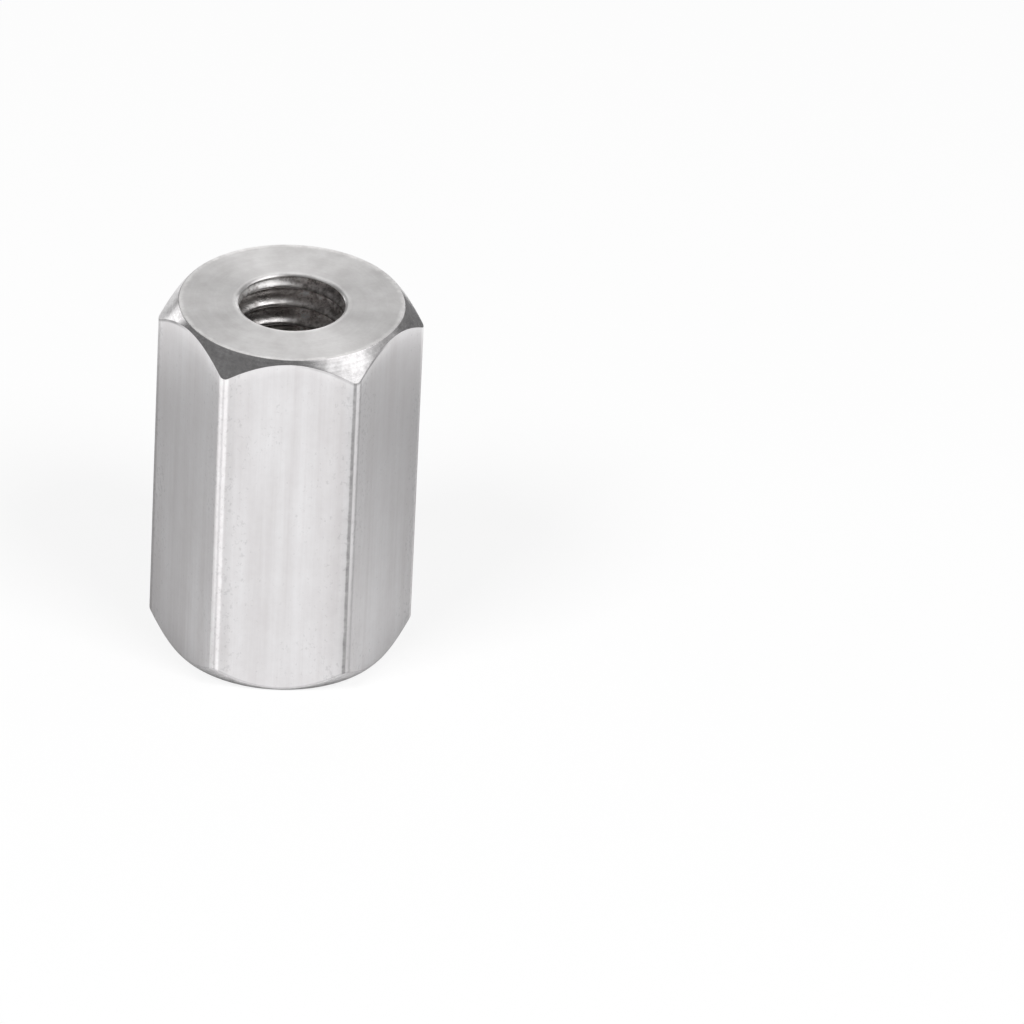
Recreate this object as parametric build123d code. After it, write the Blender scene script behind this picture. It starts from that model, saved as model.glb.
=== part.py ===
"""Coupling nut for two M3 screws or rods: a length of hexagon bar, threaded right through.

Millimetres. The nut stands on one end: the bore runs along +Z, the origin is the centre of the
lower end face, and one pair of flats faces -Y and +Y, so that two corners point along -X and +X.
Both ends are alike, and the nut works either way up.
"""
import os
from math import cos, pi, radians, sqrt, tan

from build123d import *

# Thread, which the solid carries as a plain hole of the thread's minor diameter
thread_diameter = 3.0
thread_pitch = 0.5

# Hexagon bar
across_flats = 5.4  # the 5.5 mm spanner size, inside its tolerance of 5.32 to 5.50
length = 9.0  # three thread diameters
corner_radius = 0.24  # rounding that drawing leaves along the six corners

# Ends
chamfer_inset = 0.07  # the end face's circle lies this far inside the flats
chamfer_angle = 50.0  # degrees, between the end face and the chamfer's cone
mouth_bevel = 0.085  # 45 degree bevel where the bore meets each end face

# Sizes that follow
minor_diameter = thread_diameter - 2 * (5 / 8) * (sqrt(3) / 2) * thread_pitch
bore_radius = minor_diameter / 2
end_face_radius = across_flats / 2 - chamfer_inset
across_corners_radius = across_flats / 2 / cos(pi / 6)


def hexagon_bar():
    """The bar as drawn and cut off, with its rounded corners."""
    with BuildPart() as bar:
        with BuildSketch() as section:
            RegularPolygon(across_flats / 2, 6, major_radius=False)
            fillet(section.vertices(), corner_radius)
        extrude(amount=length)
    return bar.part


def turned_envelope():
    """What the lathe leaves: a round blank with a cone at each end.

    Each cone starts at the end face's circle and leaves the bar past its sharpest corner, so that
    it meets every flat in an arch and every rounded corner in a small tip.
    """
    reach = across_corners_radius - end_face_radius
    cone_height = reach * tan(radians(chamfer_angle))
    with BuildPart() as envelope:
        with BuildSketch(Plane.XZ):
            with BuildLine():
                Polyline(
                    (0, 0),
                    (end_face_radius, 0),
                    (across_corners_radius, cone_height),
                    (across_corners_radius, length - cone_height),
                    (end_face_radius, length),
                    (0, length),
                    close=True,
                )
            make_face()
        revolve(axis=Axis.Z)
    return envelope.part


def screw_hole():
    """The through hole with its bevelled mouths, as the solid that is cut away."""
    mouth_radius = bore_radius + mouth_bevel
    with BuildPart() as hole:
        with BuildSketch(Plane.XZ):
            with BuildLine():
                Polyline(
                    (0, 0),
                    (mouth_radius, 0),
                    (bore_radius, mouth_bevel),
                    (bore_radius, length - mouth_bevel),
                    (mouth_radius, length),
                    (0, length),
                    close=True,
                )
            make_face()
        revolve(axis=Axis.Z)
    return hole.part


def coupling_nut():
    """The finished nut: hexagon bar, turned at both ends and bored through."""
    return (hexagon_bar() & turned_envelope()) - screw_hole()


os.makedirs("parts", exist_ok=True)
export_step(coupling_nut(), "parts/coupling_nut.step")
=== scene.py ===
"""Looks of the M3 coupling nut: its modelled thread and arrises, its steel, and the studio round it.

Everything is in metres in the part's frame, but the nut's mesh is worked out in millimetres and scaled
once, and the materials measure in millimetres too.
"""
import math

import bmesh
import bpy
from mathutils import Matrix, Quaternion, Vector, noise


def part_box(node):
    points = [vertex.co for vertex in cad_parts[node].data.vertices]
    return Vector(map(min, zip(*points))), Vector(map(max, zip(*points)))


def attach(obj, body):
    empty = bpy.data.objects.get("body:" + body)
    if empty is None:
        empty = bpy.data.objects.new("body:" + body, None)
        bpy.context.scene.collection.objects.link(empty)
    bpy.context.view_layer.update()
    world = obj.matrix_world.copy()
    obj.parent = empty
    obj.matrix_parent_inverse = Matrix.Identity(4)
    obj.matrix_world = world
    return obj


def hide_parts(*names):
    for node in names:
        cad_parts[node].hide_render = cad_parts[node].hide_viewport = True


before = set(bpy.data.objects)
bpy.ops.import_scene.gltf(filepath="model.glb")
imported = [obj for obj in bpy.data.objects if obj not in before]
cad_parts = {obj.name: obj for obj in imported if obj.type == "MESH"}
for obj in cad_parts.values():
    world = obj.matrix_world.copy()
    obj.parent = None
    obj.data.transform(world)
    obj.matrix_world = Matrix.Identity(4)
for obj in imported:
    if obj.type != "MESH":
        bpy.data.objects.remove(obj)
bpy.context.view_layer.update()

MM = 0.001
NUT_LOW, NUT_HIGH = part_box("coupling_nut")

# The bar and its ends, millimetres
ACROSS_FLATS = (NUT_HIGH.y - NUT_LOW.y) / MM
LENGTH = (NUT_HIGH.z - NUT_LOW.z) / MM
CORNER_RADIUS = 0.24
CHAMFER_INSET = 0.07
CHAMFER_ANGLE = math.radians(50)
FACE_ARRIS = 0.04  # rounding where an end face meets its chamfer
ARCH_ARRIS = 0.03  # rounding where a chamfer meets the flats and corners
END_RADIUS = ACROSS_FLATS / 2 - CHAMFER_INSET
CORNER_REACH = NUT_HIGH.x / MM  # from the axis to a rounded corner

# The thread, millimetres
PITCH = 0.5
MAJOR_RADIUS = 1.5
MINOR_RADIUS = MAJOR_RADIUS - 5 / 8 * math.sqrt(3) / 2 * PITCH
MOUTH_DEPTH = 0.085  # rounding of the bore's mouths, down its wall
MOUTH_WIDTH = 0.11  # and across the end face
MOUTH_EDGE = MINOR_RADIUS + MOUTH_WIDTH
THREAD_LEAD = 0.24  # depth at which the thread reaches its full height
THREAD_START = math.radians(-45)  # where round the bore a crest stands at the lower face
THREAD_TEAR = 0.008  # how far the tap's tears stand in or out
TEAR_AROUND, TEAR_ALONG = 3, 5  # how closely the tears follow each other

# Mesh fineness
CORNER_STEPS = 12
FLAT_STEPS = 30
ARRIS_STEPS = 5
FACE_RINGS = 4
CHAMFER_ROWS = 3
FLAT_ROWS = 16
THREAD_COLUMNS = 180
THREAD_ROWS = 16
MOUTH_STEPS = 8
SHARP_ANGLE = math.radians(24)  # edges that turn further than this stay sharp

# What cuts the bore, millimetres
CAP_RADIUS = MAJOR_RADIUS + 0.1  # the plain middle of each end face, which the bore takes out
SPARE_TURNS = 2  # how far the tap runs past each end
CUTTER_REACH = 0.1  # how far the mouths' cutters run into the bore and out of the nut
CUTTER_STEP = 0.001  # how far inside the bore's wall their rounding starts

# Which faces take which steel, millimetres
BORE_REACH = MAJOR_RADIUS + 0.05  # the bore's wall lies nearer the axis than this
LIP_SHARE = 0.6  # the share of a mouth's rounding that is finished like the end face
SIDES, END_FACES, CHAMFERS, BORE = range(4)  # the order of the nut's materials


def bearing(azimuth, elevation):
    """The unit vector towards an azimuth from +X, counter-clockwise, and an elevation, in degrees."""
    a, e = math.radians(azimuth), math.radians(elevation)
    return Vector((math.cos(a) * math.cos(e), math.sin(a) * math.cos(e), math.sin(e)))


# ---------------------------------------------------------------- mesh


def section_points():
    """Points round the bar's section: six rounded corners, and the flats between them."""
    centre = (ACROSS_FLATS / 2 - CORNER_RADIUS) / math.cos(math.pi / 6)
    corners = []
    for k in range(6):
        direction = k * math.pi / 3
        arc = []
        for step in range(CORNER_STEPS + 1):
            turn = direction + (step / CORNER_STEPS - 0.5) * math.pi / 3
            arc.append(
                (
                    centre * math.cos(direction) + CORNER_RADIUS * math.cos(turn),
                    centre * math.sin(direction) + CORNER_RADIUS * math.sin(turn),
                )
            )
        corners.append(arc)
    points = []
    for k, arc in enumerate(corners):
        points += arc
        start, end = arc[-1], corners[(k + 1) % 6][0]
        for step in range(1, FLAT_STEPS):
            t = step / FLAT_STEPS
            points.append((start[0] + (end[0] - start[0]) * t, start[1] + (end[1] - start[1]) * t))
    return points


def rounded(before, corner, after, radius, steps):
    """The arc that rounds a corner of a flat polyline, from tangent point to tangent point."""
    p, c, q = (Vector(v) for v in (before, corner, after))
    u, v = (p - c).normalized(), (q - c).normalized()
    half = u.angle(v) / 2
    centre = c + (u + v).normalized() * (radius / math.sin(half))
    start = c + u * (radius / math.tan(half)) - centre
    sweep = start.angle_signed(c + v * (radius / math.tan(half)) - centre)
    arc = []
    for step in range(steps + 1):
        a = -sweep * step / steps
        arc.append(
            (
                centre.x + start.x * math.cos(a) - start.y * math.sin(a),
                centre.y + start.x * math.sin(a) + start.y * math.cos(a),
            )
        )
    return arc


def between(start, end, steps):
    """Points strictly between two points of a flat polyline."""
    return [
        (start[0] + (end[0] - start[0]) * k / steps, start[1] + (end[1] - start[1]) * k / steps)
        for k in range(1, steps)
    ]


def half_profile(reach):
    """(radius, height) points up one side of the bar, from the lower face's cap to half its height.

    reach is how far the section stands from the axis in this direction.
    """
    rise = (reach - END_RADIUS) * math.tan(CHAMFER_ANGLE)
    cap = (CAP_RADIUS, 0.0)
    edge, arch, middle = (END_RADIUS, 0.0), (reach, rise), (reach, LENGTH / 2)
    edge_arc = rounded(cap, edge, arch, FACE_ARRIS, ARRIS_STEPS)
    arch_arc = rounded(edge, arch, middle, ARCH_ARRIS, ARRIS_STEPS)
    return (
        [cap]
        + between(cap, edge_arc[0], FACE_RINGS)
        + edge_arc
        + between(edge_arc[-1], arch_arc[0], CHAMFER_ROWS)
        + arch_arc
        + between(arch_arc[-1], middle, FLAT_ROWS // 2)
        + [middle]
    )


def bar_mesh():
    """The hexagon bar with both ends turned, still solid."""
    rows = []
    for x, y in section_points():
        reach = math.hypot(x, y)
        lower = half_profile(reach)
        upper = [(r, LENGTH - z) for r, z in reversed(lower[:-1])]
        rows.append([(x / reach * r, y / reach * r, z) for r, z in lower + upper])
    columns, height = len(rows), len(rows[0])
    vertices = [point for row in rows for point in row]
    faces = [tuple(k * height for k in reversed(range(columns)))]
    faces.append(tuple(k * height + height - 1 for k in range(columns)))
    for k in range(columns):
        a, b = k * height, (k + 1) % columns * height
        faces += [(a + j, b + j, b + j + 1, a + j + 1) for j in range(height - 1)]
    return new_mesh("bar", vertices, faces)


def smooth_step(value):
    """0 up to 0, 1 from 1, with a soft rise between."""
    t = min(max(value, 0.0), 1.0)
    return t * t * (3 - 2 * t)


def thread_radius(share, turn, height):
    """The threaded wall's radius, a share of a pitch above a crest.

    Crests and roots are rounded, the thread fades out at the mouths, and the tap has torn it a little.
    """
    fade = smooth_step(min(height, LENGTH - height) / THREAD_LEAD)
    groove = (1 - math.cos(2 * math.pi * share)) / 2
    place = Vector((math.cos(turn) * TEAR_AROUND, math.sin(turn) * TEAR_AROUND, height * TEAR_ALONG))
    torn = noise.noise(place) * THREAD_TEAR * fade
    return MINOR_RADIUS + (MAJOR_RADIUS - MINOR_RADIUS) * groove * fade + torn


def tap_mesh():
    """The shape of the threaded hole, longer than the nut: rows of points climb along the helix."""
    turns = int(LENGTH / PITCH) + 2 * SPARE_TURNS
    base = -SPARE_TURNS * PITCH
    vertices = []
    for row in range(turns * THREAD_ROWS):
        for k in range(THREAD_COLUMNS):
            share, around = row / THREAD_ROWS, k / THREAD_COLUMNS
            turn = THREAD_START + 2 * math.pi * around
            height = base + PITCH * (share + around)
            radius = thread_radius(share, turn, height)
            vertices.append((radius * math.cos(turn), radius * math.sin(turn), height))

    def at(row, column):
        """A point of the grid: one step past the last column is the next turn's first."""
        if column == THREAD_COLUMNS:
            row, column = row + THREAD_ROWS, 0
        return row * THREAD_COLUMNS + column

    faces = []
    for row in range(turns * THREAD_ROWS - 1):
        for k in range(THREAD_COLUMNS):
            if at(row + 1, k + 1) < len(vertices):
                faces.append((at(row, k), at(row, k + 1), at(row + 1, k + 1), at(row + 1, k)))
    mesh = new_mesh("tap", vertices, faces)
    close_holes(mesh)
    return mesh


def close_holes(mesh):
    """Caps each open end of a tube-like mesh with a fan to a point on the axis."""
    work = bmesh.new()
    work.from_mesh(mesh)
    loose = [v for v in work.verts if not v.link_faces]
    bmesh.ops.delete(work, geom=loose, context="VERTS")
    open_edges = [e for e in work.edges if len(e.link_faces) == 1]
    middle = sum(v.co.z for v in work.verts) / len(work.verts)
    for lower in (True, False):
        ring = [e for e in open_edges if (e.verts[0].co.z < middle) == lower]
        heights = [v.co.z for e in ring for v in e.verts]
        tip = work.verts.new((0, 0, min(heights) - PITCH if lower else max(heights) + PITCH))
        for edge in ring:
            work.faces.new((edge.verts[0], edge.verts[1], tip))
    work.to_mesh(mesh)
    work.free()
    face_outwards(mesh)


def face_outwards(mesh):
    """Turns every face of a closed mesh to look out of it."""
    work = bmesh.new()
    work.from_mesh(mesh)
    bmesh.ops.recalc_face_normals(work, faces=work.faces)
    work.to_mesh(mesh)
    work.free()


def mouth_mesh(height, direction):
    """The shape that rounds one mouth of the bore: direction is 1 at the top and -1 at the bottom."""
    count = 2 * THREAD_COLUMNS
    levels = [(MINOR_RADIUS - CUTTER_REACH, -MOUTH_DEPTH), (MINOR_RADIUS - CUTTER_STEP, -MOUTH_DEPTH)]
    for step in range(1, MOUTH_STEPS + 1):
        a = math.pi / 2 * step / MOUTH_STEPS
        levels.append((MINOR_RADIUS + MOUTH_WIDTH * (1 - math.cos(a)), MOUTH_DEPTH * (math.sin(a) - 1)))
    levels.append((MOUTH_EDGE, CUTTER_REACH))
    vertices = [
        (r * math.cos(2 * math.pi * k / count), r * math.sin(2 * math.pi * k / count), height + direction * z)
        for r, z in levels
        for k in range(count)
    ]
    faces = [
        (row + k, row + (k + 1) % count, row + count + (k + 1) % count, row + count + k)
        for row in range(0, len(vertices) - count, count)
        for k in range(count)
    ]
    faces += [tuple(reversed(range(count))), tuple(range(len(vertices) - count, len(vertices)))]
    mesh = new_mesh("mouth", vertices, faces)
    face_outwards(mesh)
    return mesh


def new_mesh(name, vertices, faces):
    """A mesh from its points and faces."""
    mesh = bpy.data.meshes.new(name)
    mesh.from_pydata(vertices, [], faces)
    mesh.update()
    return mesh


def new_object(name, data):
    """An object in the scene that holds a mesh, a lamp or a camera."""
    obj = bpy.data.objects.new(name, data)
    bpy.context.collection.objects.link(obj)
    return obj


def cut(target, *cutters):
    """Takes each cutter's mesh away from the target object."""
    for mesh in cutters:
        cutter = new_object("cutter", mesh)
        boolean = target.modifiers.new("cut", "BOOLEAN")
        boolean.operation = "DIFFERENCE"
        boolean.solver = "MANIFOLD"
        boolean.object = cutter
        apply_modifiers(target)
        bpy.data.objects.remove(cutter)


def apply_modifiers(obj):
    """Turns what the object's modifiers make into its own mesh."""
    evaluated = obj.evaluated_get(bpy.context.evaluated_depsgraph_get())
    mesh = bpy.data.meshes.new_from_object(evaluated)
    obj.modifiers.clear()
    obj.data = mesh


def build_nut():
    """The nut's visible mesh, in metres, with its four kinds of surface."""
    nut = new_object("nut", bar_mesh())
    cut(nut, tap_mesh(), mouth_mesh(0.0, -1), mouth_mesh(LENGTH, 1))
    nut.data.name = "nut"
    nut.data.materials.clear()
    for material in (drawn_steel(), faced_steel(), chamfer_steel(), thread_steel()):
        nut.data.materials.append(material)
    sort_surfaces(nut.data)
    for vertex in nut.data.vertices:
        vertex.co *= MM
    soften(nut)
    return nut


def sort_surfaces(mesh):
    """Gives each face its material by where it lies and how level it is."""
    for face in mesh.polygons:
        x, y, z = face.center
        radius, end = math.hypot(x, y), min(z, LENGTH - z)
        level = abs(face.normal.z)  # 1 on an end face, 0.64 on a chamfer, 0 on the sides
        lip = end < LIP_SHARE * MOUTH_DEPTH and radius < MOUTH_EDGE
        if radius < BORE_REACH and level < 0.999 and not lip:
            face.material_index = BORE
        elif lip or level > 0.9:
            face.material_index = END_FACES
        elif level > 0.4:
            face.material_index = CHAMFERS
        else:
            face.material_index = SIDES


def soften(obj):
    """Smooth shading inside each surface, weighted so that flats stay flat."""
    mesh = obj.data
    for face in mesh.polygons:
        face.use_smooth = True
    work = bmesh.new()
    work.from_mesh(mesh)
    for edge in work.edges:
        if len(edge.link_faces) == 2:
            edge.smooth = edge.calc_face_angle() < SHARP_ANGLE
    work.to_mesh(mesh)
    work.free()
    weighted = obj.modifiers.new("weighted", "WEIGHTED_NORMAL")
    weighted.mode = "FACE_AREA"
    weighted.keep_sharp = True
    apply_modifiers(obj)


# ---------------------------------------------------------------- materials


class Nodes:
    """Builds one material's node tree, one call a node."""

    def __init__(self, name):
        self.material = bpy.data.materials.new(name)
        self.material.use_nodes = True
        self.tree = self.material.node_tree
        self.tree.nodes.clear()

    def add(self, kind, inputs=None, **settings):
        """A node with its settings and inputs: an input is a value or another node's output."""
        node = self.tree.nodes.new("ShaderNode" + kind)
        for key, value in settings.items():
            setattr(node, key, value)
        for key, value in (inputs or {}).items():
            if isinstance(value, bpy.types.NodeSocket):
                self.tree.links.new(value, node.inputs[key])
            else:
                node.inputs[key].default_value = value
        return node

    def math(self, operation, a, b=0.0, c=0.0):
        """The output of one Math node."""
        return self.add("Math", {0: a, 1: b, 2: c}, operation=operation).outputs[0]

    def millimetres(self):
        """The object's own coordinates, in millimetres."""
        place = self.add("TexCoord").outputs["Object"]
        return self.add("VectorMath", {0: place, 1: (1 / MM,) * 3}, operation="MULTIPLY").outputs[0]

    def scaled(self, vector, scale):
        """A vector with each of its parts multiplied by its own scale."""
        return self.add("VectorMath", {0: vector, 1: scale}, operation="MULTIPLY").outputs[0]

    def dot(self, vector, direction):
        """How far a vector goes along a direction."""
        return self.add("VectorMath", {0: vector, 1: direction}, operation="DOT_PRODUCT").outputs["Value"]

    def around(self, place):
        """A place's distance from the axis, its angle round it and its height."""
        x, y, z = self.add("SeparateXYZ", {0: place}).outputs
        squares = self.math("ADD", self.math("MULTIPLY", x, x), self.math("MULTIPLY", y, y))
        return self.math("SQRT", squares), self.math("ARCTAN2", y, x), z

    def noise(self, vector, scale=1.0, detail=4.0, roughness=0.55):
        """Fractal noise about a half."""
        node = self.add(
            "TexNoise",
            {"Vector": vector, "Scale": scale, "Detail": detail, "Roughness": roughness},
        )
        return node.outputs["Fac"]

    def spread(self, value, low, high, to_low, to_high):
        """A value moved from one range to another, clamped."""
        keys = {"Value": value, "From Min": low, "From Max": high, "To Min": to_low, "To Max": to_high}
        return self.add("MapRange", keys).outputs["Result"]

    def steps(self, value, levels):
        """A value turned into another through (value, result) levels, straight between them.

        The curve holds half of each result, because it stops at 1.
        """
        low, high = levels[0][0], levels[-1][0]
        node = self.add("FloatCurve", {"Factor": 1.0, "Value": self.spread(value, low, high, 0, 1)})
        curve = node.mapping.curves[0]
        curve.points[0].location = (0.0, levels[0][1] / 2)
        curve.points[1].location = (1.0, levels[-1][1] / 2)
        for position, result in levels[1:-1]:
            point = curve.points.new((position - low) / (high - low), result / 2)
        for point in curve.points:
            point.handle_type = "VECTOR"
        node.mapping.update()
        return self.math("MULTIPLY", node.outputs[0], 2.0)

    def mixed(self, first, second, share):
        """The first value by its share, with the second making up the rest."""
        return self.math("MULTIPLY_ADD", first, share, self.math("MULTIPLY", second, 1 - share))

    def jittered(self, value, marks, amount):
        """A value moved to and fro by noise, by up to half the amount."""
        return self.math("MULTIPLY_ADD", marks, amount, self.math("SUBTRACT", value, amount / 2))

    def tint(self, factor, dark, light):
        """A colour between two, by a factor."""
        node = self.add("Mix", {"Factor": factor}, data_type="RGBA")
        node.inputs[6].default_value = (*dark, 1)
        node.inputs[7].default_value = (*light, 1)
        return node.outputs[2]

    def blend(self, factor, first, second):
        """A mix of two colours that are themselves made by nodes."""
        node = self.add("Mix", {"Factor": factor}, data_type="RGBA")
        self.tree.links.new(first, node.inputs[6])
        self.tree.links.new(second, node.inputs[7])
        return node.outputs[2]

    def scale_colour(self, colour, factor):
        """A colour made lighter or darker by a factor."""
        return self.add("VectorMath", {0: colour, "Scale": factor}, operation="SCALE").outputs[0]

    def finish(self, shader, kind="OutputMaterial"):
        """Sends a shader to the tree's output."""
        output = self.add(kind)
        self.tree.links.new(shader.outputs[0], output.inputs[0])


# How closely noise follows, in cells a millimetre along X, Y and Z
FINE_GRAIN = (16, 16, 0.3)
BROAD_GRAIN = (2.6, 2.6, 0.1)
CLOUDING = (1.1, 1.1, 0.6)
MOTTLE = (7, 7, 6)
FLECKS = (12, 12, 9)
NICKS = (3, 3, 4.5)
TURN_MARKS = (3.5, 3.5, 9)
TORN_METAL = (7, 7, 7)
FACED_RINGS, CHAMFER_RINGS = 16, 18  # cells a millimetre out from the axis

# Colours: (darkest, lightest)
DRAWN_TONES = (0.705, 0.685, 0.69), (0.82, 0.81, 0.82)
FACED_TONES = (0.705, 0.69, 0.685), (0.785, 0.775, 0.77)
CHAMFER_TONES = (0.66, 0.645, 0.65), (0.82, 0.81, 0.815)
CREST_TONES = (0.56, 0.535, 0.525), (0.95, 0.93, 0.92)
ROOT_TONES = (0.36, 0.33, 0.32), (0.62, 0.59, 0.57)
MOUTH_LIGHT_TONES = (0.6, 0.57, 0.56), (1.0, 0.99, 0.98)
SHADED_SIDE_TONES = (0.36, 0.33, 0.32), (0.94, 0.9, 0.885)

# How deep the surfaces' marks are, metres
DRAWN_DEPTH = 0.0000012
FACED_DEPTH = 0.0000007
CHAMFER_DEPTH = 0.0000012
TORN_DEPTH = 0.000014

# How the grain stretches a reflection, and which way: a quarter turn lays it along the cutter's path
DRAWN_STRETCH, FACED_STRETCH, CHAMFER_STRETCH, BORE_STRETCH = 0.45, 0.9, 0.6, 0.2
ROUND_THE_AXIS = 0.25

# How bright the steel is painted beside a corner, with painted highlight and painted shade lines:
# (millimetres off it, share of the flat's brightness). Corners with painted highlights and corners with
# painted shade take turns, and the distance is positive on the flat that runs anticlockwise from a
# highlighted corner to a shaded one.
PAINTED_LIT_CORNER = (
    (-0.15, 1.0), (-0.12, 1.33), (-0.03, 1.3), (0.0, 1.02), (0.025, 1.02), (0.055, 1.3), (0.1, 1.3),
    (0.13, 1.0), (0.16, 0.94), (0.24, 0.94), (0.34, 1.0),
)
PAINTED_SHADED_CORNER = (
    (-0.18, 1.0), (-0.14, 0.8), (-0.1, 0.8), (-0.075, 0.92), (-0.015, 0.92), (0.015, 0.5), (0.068, 0.5),
    (0.09, 0.84), (0.2, 0.93), (0.4, 0.98), (0.6, 1.0),
)

# Places on the surfaces, millimetres
LOW_EDGE = 0.02, 0.05  # the painted shade line just over the lower chamfer
TOP_EDGE = 0.04, 0.08  # and the painted shade line just under the upper chamfer, beside the shaded corners
PAINTED_SHEEN_BAND = 0.05, 0.3  # the painted sheen band under that
RIM = END_RADIUS - 0.13, END_RADIUS - 0.05  # the painted highlight along the edge of an end face
LIP = MOUTH_EDGE - 0.02, MOUTH_EDGE + 0.06  # and the painted highlight round the bore
ROOTS = MINOR_RADIUS + 0.07, MINOR_RADIUS + 0.17  # where the painted shade in the thread's roots starts and is darkest
SHADED_SIDE_EVENING = MINOR_RADIUS, MINOR_RADIUS + 0.2  # where the side painted in shade has its crests and roots evened out
MOUTH_LIGHT = LENGTH / 2 - 0.55, LENGTH / 2 - 0.4  # the painted light near a mouth, from mid-height
MOUTH_BLUR = LENGTH / 2 - 0.3, LENGTH / 2 - 0.1
SHADED_SIDE = 14  # degrees round from +X: the side of the bore that is painted darker, as shade


def finish_steel(nodes, colour, roughness, height, depth, stretch, turn=0.0):
    """Ends a steel material: a metal with its bump and the direction of its grain."""
    bump = nodes.add("Bump", {"Height": height, "Distance": depth})
    tangent = nodes.add("Tangent", direction_type="RADIAL", axis="Z").outputs[0]
    shader = nodes.add(
        "BsdfPrincipled",
        {
            "Base Color": colour,
            "Metallic": 1.0,
            "Roughness": roughness,
            "Anisotropic": stretch,
            "Anisotropic Rotation": turn,
            "Normal": bump.outputs[0],
            "Tangent": tangent,
        },
    )
    nodes.finish(shader)
    return nodes.material


def drawn_steel():
    """The flats and corners: drawn bar with grain along it, a faint mottle and painted lines of highlight and
    shade.
    """
    nodes = Nodes("drawn_steel")
    place = nodes.millimetres()
    radius, turn, height = nodes.around(place)
    fine = nodes.noise(nodes.scaled(place, FINE_GRAIN), detail=3, roughness=0.6)
    broad = nodes.noise(nodes.scaled(place, BROAD_GRAIN), detail=2, roughness=0.5)
    cloud = nodes.noise(nodes.scaled(place, CLOUDING), detail=3, roughness=0.6)
    mottle = nodes.noise(nodes.scaled(place, MOTTLE), detail=3, roughness=0.6)
    nicks = nodes.noise(nodes.scaled(place, NICKS), detail=4, roughness=0.65)
    streak = nodes.mixed(fine, broad, 0.3)
    tone = nodes.mixed(nodes.mixed(mottle, cloud, 0.25), streak, 0.45)
    steel = nodes.tint(nodes.spread(tone, 0.38, 0.62, 0, 1), *DRAWN_TONES)

    # Corners take turns round the bar: 1 where one has painted highlights, -1 where it has painted shade
    # lines
    kind = nodes.math("COSINE", nodes.math("MULTIPLY", turn, 3.0))
    side = nodes.math("SIGN", kind)
    off_corner = nodes.math("WRAP", turn, math.pi / 6, -math.pi / 6)
    beside = nodes.math("MULTIPLY", nodes.math("SINE", off_corner), CORNER_REACH)
    beside = nodes.jittered(nodes.math("MULTIPLY", beside, side), nicks, 0.04)

    # Painted highlight and shade lines along the corners and the chamfer edges, scaled into the colour
    gain = painted_corner_lines(nodes, beside, side, nicks)
    edges = painted_edge_lines(nodes, radius, height, beside, kind, nicks)
    gain = nodes.math("MULTIPLY", gain, edges)
    steel = nodes.scale_colour(steel, fleck_share(nodes, place, cloud, beside))
    colour = nodes.scale_colour(steel, gain)
    roughness = nodes.spread(tone, 0.35, 0.65, 0.32, 0.27)
    return finish_steel(nodes, colour, roughness, streak, DRAWN_DEPTH, DRAWN_STRETCH)


def fleck_share(nodes, place, cloud, beside):
    """Small dark flecks, more of them where the bar was handled, near its corners."""
    flecks = nodes.noise(nodes.scaled(place, FLECKS), detail=3, roughness=0.65)
    flecks = nodes.math("MULTIPLY_ADD", cloud, 0.35, flecks)
    handled = nodes.spread(nodes.math("ABSOLUTE", beside), 0.2, 0.9, 0.1, 0)
    return nodes.spread(nodes.math("ADD", flecks, handled), 0.82, 0.92, 1.0, 0.87)


def painted_corner_lines(nodes, beside, side, nicks):
    """Painted highlight and painted shade lines along the corners, broken up by noise in places."""
    lit_lines = nodes.steps(beside, PAINTED_LIT_CORNER)
    shaded_lines = nodes.steps(beside, PAINTED_SHADED_CORNER)
    on_lit_corner = nodes.spread(side, -0.5, 0.5, 0, 1)
    on_shaded_corner = nodes.math("SUBTRACT", 1.0, on_lit_corner)
    gain = nodes.math("ADD", nodes.math("MULTIPLY", lit_lines, on_lit_corner), nodes.math("MULTIPLY", shaded_lines, on_shaded_corner))
    patchiness = nodes.math("MULTIPLY", nodes.math("SUBTRACT", nicks, 0.5), nodes.math("SUBTRACT", 1.0, gain))
    return nodes.math("MULTIPLY_ADD", nodes.math("MAXIMUM", patchiness, -0.1), 1.3, gain)


def painted_edge_lines(nodes, radius, height, beside, kind, nicks):
    """Painted shade lines where the flats and corners meet the chamfers, and a painted sheen band under the
    upper one.
    """
    rise = nodes.math("MULTIPLY", nodes.math("SUBTRACT", radius, END_RADIUS), math.tan(CHAMFER_ANGLE))
    over_low = nodes.math("SUBTRACT", height, rise)
    under_top = nodes.math("SUBTRACT", LENGTH, nodes.math("ADD", height, rise))
    low_edge = nodes.spread(over_low, *LOW_EDGE, 0.2, 0)
    # The painted shade under the upper chamfer falls only beside the shaded corners
    shaded_corner_share = nodes.spread(kind, -0.1, -0.6, 0, 1)
    shaded_corner_share = nodes.math("MULTIPLY", shaded_corner_share, nodes.spread(beside, -0.1, 0.05, 1.0, 0.45))
    shaded_corner_share = nodes.math("MULTIPLY", shaded_corner_share, nodes.spread(nicks, 0.35, 0.6, 0.6, 1.1))
    top_edge = nodes.math("MULTIPLY", nodes.spread(under_top, *TOP_EDGE, 0.5, 0), shaded_corner_share)
    lines = nodes.math("SUBTRACT", 1.0, nodes.math("MAXIMUM", low_edge, top_edge))
    return nodes.math("MULTIPLY", lines, nodes.spread(under_top, *PAINTED_SHEEN_BAND, 1.1, 1.0))


def turned_marks(nodes, radius, turn, rings):
    """Noise drawn out into rings round the axis."""
    cosine, sine = nodes.math("COSINE", turn), nodes.math("SINE", turn)
    ring_place = nodes.add("CombineXYZ", {0: nodes.math("MULTIPLY", radius, rings), 1: cosine, 2: sine})
    return nodes.noise(ring_place.outputs[0], detail=4, roughness=0.65)


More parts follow.
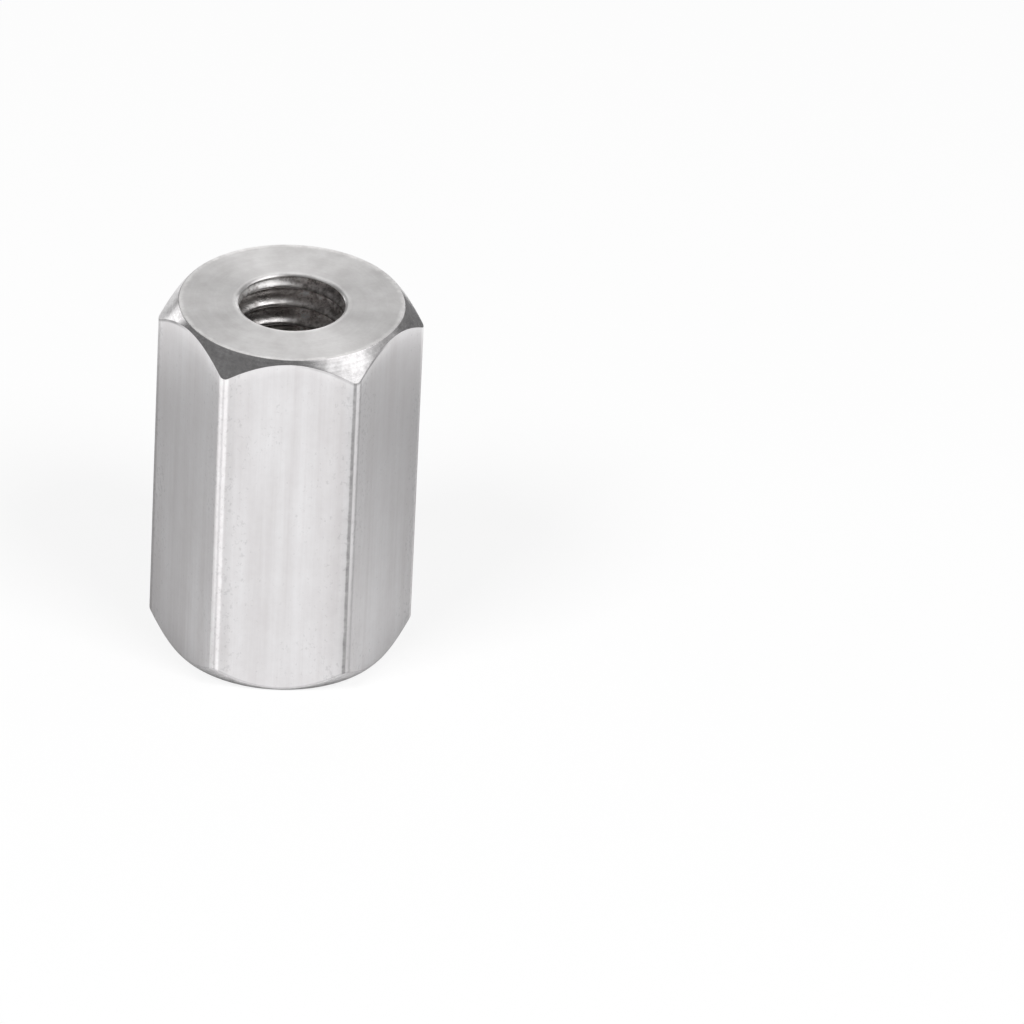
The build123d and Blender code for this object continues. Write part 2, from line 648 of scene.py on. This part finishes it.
def faced_steel():
    """The end faces: turned flat, with faint rings round the axis and a ragged painted highlight at the rim
    and lip.
    """
    nodes = Nodes("faced_steel")
    place = nodes.millimetres()
    radius, turn, _ = nodes.around(place)
    rings = turned_marks(nodes, radius, turn, FACED_RINGS)
    cloud = nodes.noise(place, scale=2.2, detail=6, roughness=0.7)
    mixed = nodes.mixed(rings, cloud, 0.25)
    colour = nodes.tint(nodes.spread(mixed, 0.38, 0.62, 0, 1), *FACED_TONES)
    nicks = nodes.noise(place, scale=4.5, detail=4, roughness=0.65)
    ragged = nodes.jittered(radius, nicks, 0.12)
    # Painted highlights: a ragged bright band along the rim and round the bore's lip
    painted_shine = nodes.math("MAXIMUM", nodes.spread(ragged, *RIM, 0, 0.27), nodes.spread(ragged, *LIP, 0.3, 0))
    painted_shine = nodes.math("MULTIPLY", painted_shine, nodes.spread(nicks, 0.35, 0.6, 0.35, 1.1))
    colour = nodes.scale_colour(colour, nodes.math("ADD", painted_shine, 1.0))
    roughness = nodes.spread(mixed, 0.35, 0.65, 0.36, 0.31)
    return finish_steel(nodes, colour, roughness, rings, FACED_DEPTH, FACED_STRETCH, ROUND_THE_AXIS)


def chamfer_steel():
    """The chamfers: turned with a smoother cut than the end faces, and mottled."""
    nodes = Nodes("chamfer_steel")
    place = nodes.millimetres()
    radius, turn, _ = nodes.around(place)
    rings = turned_marks(nodes, radius, turn, CHAMFER_RINGS)
    cloud = nodes.noise(place, scale=2.5, detail=4)
    mixed = nodes.mixed(rings, cloud, 0.6)
    colour = nodes.tint(nodes.spread(mixed, 0.38, 0.62, 0, 1), *CHAMFER_TONES)
    mottle = nodes.noise(place, scale=6, detail=5, roughness=0.7)
    colour = nodes.scale_colour(colour, nodes.spread(mottle, 0.36, 0.6, 0.84, 1.1))
    roughness = nodes.spread(mixed, 0.35, 0.65, 0.24, 0.19)
    return finish_steel(nodes, colour, roughness, rings, CHAMFER_DEPTH, CHAMFER_STRETCH, ROUND_THE_AXIS)


def thread_steel():
    """The tapped bore: rougher and torn along the turns, with painted shade in the roots and on one side, and
    painted light near the mouths.
    """
    nodes = Nodes("thread_steel")
    place = nodes.millimetres()
    radius, _, height = nodes.around(place)
    from_middle = nodes.math("ABSOLUTE", nodes.math("SUBTRACT", height, LENGTH / 2))
    marks = nodes.noise(nodes.scaled(place, TURN_MARKS), detail=5, roughness=0.7)
    torn = nodes.noise(nodes.scaled(place, TORN_METAL), detail=4, roughness=0.65)

    # Painted shade: the thread's roots are darker than its crests
    crests = nodes.tint(nodes.spread(marks, 0.38, 0.62, 0, 1), *CREST_TONES)
    roots = nodes.tint(nodes.spread(marks, 0.35, 0.65, 0, 1), *ROOT_TONES)
    deep = nodes.spread(nodes.jittered(radius, marks, 0.1), *ROOTS, 0, 1)
    # Painted light: the bore's wall is lighter near each mouth
    mouth_lit = nodes.tint(nodes.spread(torn, 0.36, 0.52, 0, 1), *MOUTH_LIGHT_TONES)
    mouth_light_share = nodes.spread(from_middle, *MOUTH_LIGHT, 0, 0.9)
    colour = nodes.blend(mouth_light_share, nodes.blend(deep, crests, roots), mouth_lit)

    # Painted shade: one side of the bore is darker, with its crests and roots evened out; it is also rougher
    towards_shaded_side = nodes.math("DIVIDE", nodes.dot(place, bearing(SHADED_SIDE, 0)), radius)
    towards_shaded_side = nodes.jittered(towards_shaded_side, marks, 0.5)
    shaded_share = nodes.spread(towards_shaded_side, 0.15, 0.44, 0, 1)
    side_shade = nodes.tint(nodes.spread(torn, 0.38, 0.62, 0, 1), *SHADED_SIDE_TONES)
    evened = nodes.spread(radius, *SHADED_SIDE_EVENING, 0.76, 1.34)
    evened = nodes.math("MULTIPLY", evened, nodes.spread(towards_shaded_side, 0.4, 0.9, 1.08, 0.66))
    colour = nodes.blend(shaded_share, colour, nodes.scale_colour(side_shade, evened))

    roughness = nodes.spread(marks, 0.3, 0.7, 0.36, 0.22)
    roughness = nodes.math("ADD", roughness, nodes.spread(from_middle, *MOUTH_BLUR, 0, 0.3))
    roughness = nodes.math("MULTIPLY_ADD", shaded_share, 0.2, roughness)
    relief = nodes.mixed(torn, marks, 0.6)
    return finish_steel(nodes, colour, roughness, relief, TORN_DEPTH, BORE_STRETCH, ROUND_THE_AXIS)


# ---------------------------------------------------------------- studio

NUT_CENTRE = (NUT_LOW + NUT_HIGH) / 2

# The camera
VIEW_AZIMUTH, VIEW_ELEVATION, VIEW_ROLL = -1.96, 31.70, 2.87  # degrees, the azimuth from -Y
LENS, SENSOR = 419.1, 36  # millimetres
VIEW_DISTANCE = 0.27887
NUT_RIGHT, NUT_UP = -0.2211, 0.04362  # the nut's centre from the picture's, in picture widths

# Two plain lamps: degrees, metres, and the share of white that each lights the floor to
LAMP_AZIMUTHS = {"lamp_right": -45, "lamp_left": -135}
LAMP_ELEVATION, LAMP_DISTANCE, LAMP_SIZE, LAMP_SHARE = 50, 0.35, 0.12, 0.415

# What metal reflects from the room: its plain tone, and soft panels hung in it, each in front of the
# last. A panel is (azimuth, elevation, half width, half height, softness of its edge, tone), in degrees.
AMBIENT = 0.25  # the world's light on what isn't metal
ROOM_TONE = 0.195
PANELS = (
    (88, 44, 32, 34, 20, 0.26),  # the wall behind the nut
    (63, 15, 11, 9, 7, 1.6),  # low, behind to the right
    (90, 36, 7.4, 44, 12, 1.05),  # a tall strip behind: the sheen down the end face
    (12, 22, 20, 12, 12, 0.5),  # a dim one to the right
    (-50, 18, 14, 9, 10, 1.2),  # low, in front to the right
    (-29, 38, 18, 28, 18, 1.17),  # above that: the bright chamfer
    (0, 57, 17, 20, 14, 1.6),  # high to the right: the crescents on the thread
    (136, 6, 9, 13, 8, 1.5),  # low, behind to the left: the left corner's tip
    (140, 62, 12, 9, 10, 0.9),  # high, behind to the left
)
GROUND_TONE = 0.75  # the least that metal sees below the horizon

# Screens on the floor that only metal sees: azimuth in degrees, distance, width, height, tone
SCREENS = {"screen": (48, 0.030, 0.024, 0.017, 0.2), "low_screen": (8, 0.040, 0.034, 0.011, 0.25)}

# Painted shadows on the floor that only metal sees beside the nut: (millimetres out from its axis, share of
# the greyest)
LEFT_STRIP = ((2.5, 0.5), (4.2, 0.6), (6, 0.66), (10, 0.82), (12, 0.9), (14, 1.0))
RIGHT_STRIP = ((2.5, 0.42), (4, 0.42), (12, 1.0))
LEFT_AZIMUTH, LEFT_REACH = 152, 15.2
RIGHT_AZIMUTH, RIGHT_REACH = 32, 16.0
STRIP_HALF_WIDTH = 4, 7  # where its edge starts to fade and where it ends
FOOT_SHADE = END_RADIUS + 0.04, END_RADIUS + 0.14  # a painted shadow all round the nut's foot, on the floor as metal sees it

FLOOR_HALF = 3.0
# FLOOR_GREY is the colour of the painted shadows that metal sees on the floor
FLOOR_WHITE, FLOOR_GREY = (0.92,) * 3, (0.375,) * 3
FLOOR_GLOW = 0.8  # how far the camera sees plain white in place of the lit floor
FLOOR_GAP = 0.000002  # metres, so that the floor and the nut's lower face don't share a plane


def add_camera():
    """The camera, from in front and above, with the nut left of its middle."""
    camera = bpy.data.cameras.new("camera")
    camera.lens, camera.sensor_width = LENS, SENSOR
    camera.clip_start, camera.clip_end = 0.001, 10
    obj = new_object("camera", camera)
    back = bearing(VIEW_AZIMUTH - 90, VIEW_ELEVATION)
    turn = back.to_track_quat("Z", "Y") @ Quaternion((0, 0, 1), math.radians(VIEW_ROLL))
    width = VIEW_DISTANCE * SENSOR / LENS
    aside = turn @ Vector((-NUT_RIGHT * width, -NUT_UP * width, 0))
    obj.location = NUT_CENTRE + back * VIEW_DISTANCE + aside
    obj.rotation_mode = "QUATERNION"
    obj.rotation_quaternion = turn
    bpy.context.scene.camera = obj


def add_lamp(name, azimuth):
    """An area lamp that faces the nut and lights the floor to its share of white."""
    light = bpy.data.lights.new(name, "AREA")
    light.shape, light.size = "SQUARE", LAMP_SIZE
    solid_angle = (LAMP_SIZE / LAMP_DISTANCE) ** 2
    radiance = LAMP_SHARE * math.pi / (solid_angle * math.sin(math.radians(LAMP_ELEVATION)))
    light.energy = math.pi * LAMP_SIZE**2 * radiance
    obj = new_object(name, light)
    direction = bearing(azimuth, LAMP_ELEVATION)
    obj.location = NUT_CENTRE + direction * LAMP_DISTANCE
    obj.rotation_mode = "QUATERNION"
    obj.rotation_quaternion = direction.to_track_quat("Z", "Y")
    obj.visible_glossy = False


class Sky(Nodes):
    """The world's node tree."""

    def __init__(self):
        self.world = bpy.data.worlds.new("studio")
        bpy.context.scene.world = self.world
        self.world.use_nodes = True
        self.tree = self.world.node_tree
        self.tree.nodes.clear()
        self.direction = self.add("TexCoord").outputs["Generated"]

    def panel(self, surround, azimuth, elevation, half_width, half_height, soft, tone):
        """Hangs a rectangular panel in the surround: angles in degrees, from the nut."""
        facing = bearing(azimuth, elevation)
        right = Vector((0, 0, 1)).cross(facing).normalized()
        upward = facing.cross(right)
        inside = self.spread(self.dot(self.direction, facing), 0.0, 0.05, 0, 1)
        for axis, half in ((right, half_width), (upward, half_height)):
            offset = self.math("ABSOLUTE", self.dot(self.direction, axis))
            near = math.sin(math.radians(half - soft / 2))
            far = math.sin(math.radians(half + soft / 2))
            edge = self.add(
                "MapRange",
                {"Value": offset, "From Min": near, "From Max": far, "To Min": 1, "To Max": 0},
                interpolation_type="SMOOTHSTEP",
            ).outputs["Result"]
            inside = self.math("MULTIPLY", inside, edge)
        return self.math("MULTIPLY_ADD", self.math("SUBTRACT", tone, surround), inside, surround)


def add_world():
    """White to the camera; walls, panels and dark gaps in metal; soft plain light elsewhere."""
    sky = Sky()
    tone = ROOM_TONE
    for panel in PANELS:
        tone = sky.panel(tone, *panel)
    ground = sky.spread(sky.dot(sky.direction, (0, 0, 1)), -0.1, -0.02, GROUND_TONE, 0)
    tone = sky.math("MAXIMUM", tone, ground)
    path = sky.add("LightPath").outputs
    metal = sky.math("MAXIMUM", path["Is Glossy Ray"], path["Is Transmission Ray"])
    tone = sky.math("MULTIPLY", tone, metal)
    tone = sky.math("MAXIMUM", tone, path["Is Camera Ray"])
    tone = sky.math("MAXIMUM", tone, sky.math("MULTIPLY", path["Is Diffuse Ray"], AMBIENT))
    sky.finish(sky.add("Background", {"Color": (1, 1, 1, 1), "Strength": tone}), "OutputWorld")


def strip(nodes, place, azimuth, reach, levels):
    """How dark a painted shadow on the floor is along a strip from the nut's foot outwards: 1 where it is
    darkest.
    """
    along = nodes.dot(place, bearing(azimuth, 0))
    across = nodes.math("ABSOLUTE", nodes.dot(place, bearing(azimuth + 90, 0)))
    near = nodes.math("MULTIPLY", nodes.steps(along, levels), nodes.spread(along, 0, 1, 0, 1))
    length = nodes.math("MULTIPLY", near, nodes.spread(along, reach - 1, reach + 1, 1, 0))
    return nodes.math("MULTIPLY", length, nodes.spread(across, *STRIP_HALF_WIDTH, 1, 0))


def floor_material():
    """Paper that looks white where it is seen, keeps the nut's shadow and is clear from below.

    It is also clear to rays that start in the gap under the nut, so that its lower face isn't black.
    For metal alone it carries painted shadows beside the nut and round its foot.
    """
    nodes = Nodes("floor")
    path = nodes.add("LightPath").outputs
    place = nodes.millimetres()
    left = strip(nodes, place, LEFT_AZIMUTH, LEFT_REACH, LEFT_STRIP)
    right = strip(nodes, place, RIGHT_AZIMUTH, RIGHT_REACH, RIGHT_STRIP)
    from_axis = nodes.add("VectorMath", {0: place}, operation="LENGTH").outputs["Value"]
    foot = nodes.spread(from_axis, *FOOT_SHADE, 0.6, 0)
    # Painted shadows that only metal sees: strips beside the nut and a ring round its foot
    painted_shadow = nodes.math("MAXIMUM", nodes.math("MAXIMUM", left, right), foot)
    painted_shadow = nodes.math("MULTIPLY", painted_shadow, path["Is Glossy Ray"])
    paper = nodes.add("BsdfDiffuse", {"Color": nodes.tint(painted_shadow, FLOOR_WHITE, FLOOR_GREY)})
    glow = nodes.add("Emission", {"Strength": 1.0})
    seen = nodes.math("MULTIPLY", path["Is Camera Ray"], FLOOR_GLOW)
    lit = nodes.add("MixShader", {0: seen, 1: paper.outputs[0], 2: glow.outputs[0]})
    under = nodes.add("NewGeometry").outputs["Backfacing"]
    in_gap = nodes.math("LESS_THAN", path["Ray Length"], 5 * FLOOR_GAP)
    seen_through = nodes.math("MAXIMUM", under, in_gap)
    clear = nodes.add("BsdfTransparent")
    nodes.finish(nodes.add("MixShader", {0: seen_through, 1: lit.outputs[0], 2: clear.outputs[0]}))
    return nodes.material


def add_floor():
    """A wide sheet of paper just under the nut."""
    s = FLOOR_HALF
    mesh = new_mesh("floor", [(-s, -s, 0), (s, -s, 0), (s, s, 0), (-s, s, 0)], [(0, 1, 2, 3)])
    mesh.materials.append(floor_material())
    obj = new_object("floor", mesh)
    obj.location.z = NUT_LOW.z - FLOOR_GAP


def add_screen(name, azimuth, distance, width, height, tone):
    """A screen standing on the floor that only metal sees."""
    side = width / 2
    corners = [(-side, 0, 0), (side, 0, 0), (side, 0, height), (-side, 0, height)]
    mesh = new_mesh(name, corners, [(0, 1, 2, 3)])
    nodes = Nodes(name)
    nodes.finish(nodes.add("Emission", {"Strength": tone}))
    mesh.materials.append(nodes.material)
    obj = new_object(name, mesh)
    obj.location = bearing(azimuth, 0) * distance
    obj.rotation_euler.z = math.radians(azimuth - 90)
    obj.visible_camera = obj.visible_diffuse = obj.visible_shadow = False


def add_studio():
    """Everything round the nut, in place of a room."""
    add_world()
    add_floor()
    for name, sizes in SCREENS.items():
        add_screen(name, *sizes)
    for name, azimuth in LAMP_AZIMUTHS.items():
        add_lamp(name, azimuth)


bpy.context.scene.view_settings.view_transform = "Standard"
piece = build_nut()
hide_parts("coupling_nut")
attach(piece, "root")
add_studio()
add_camera()
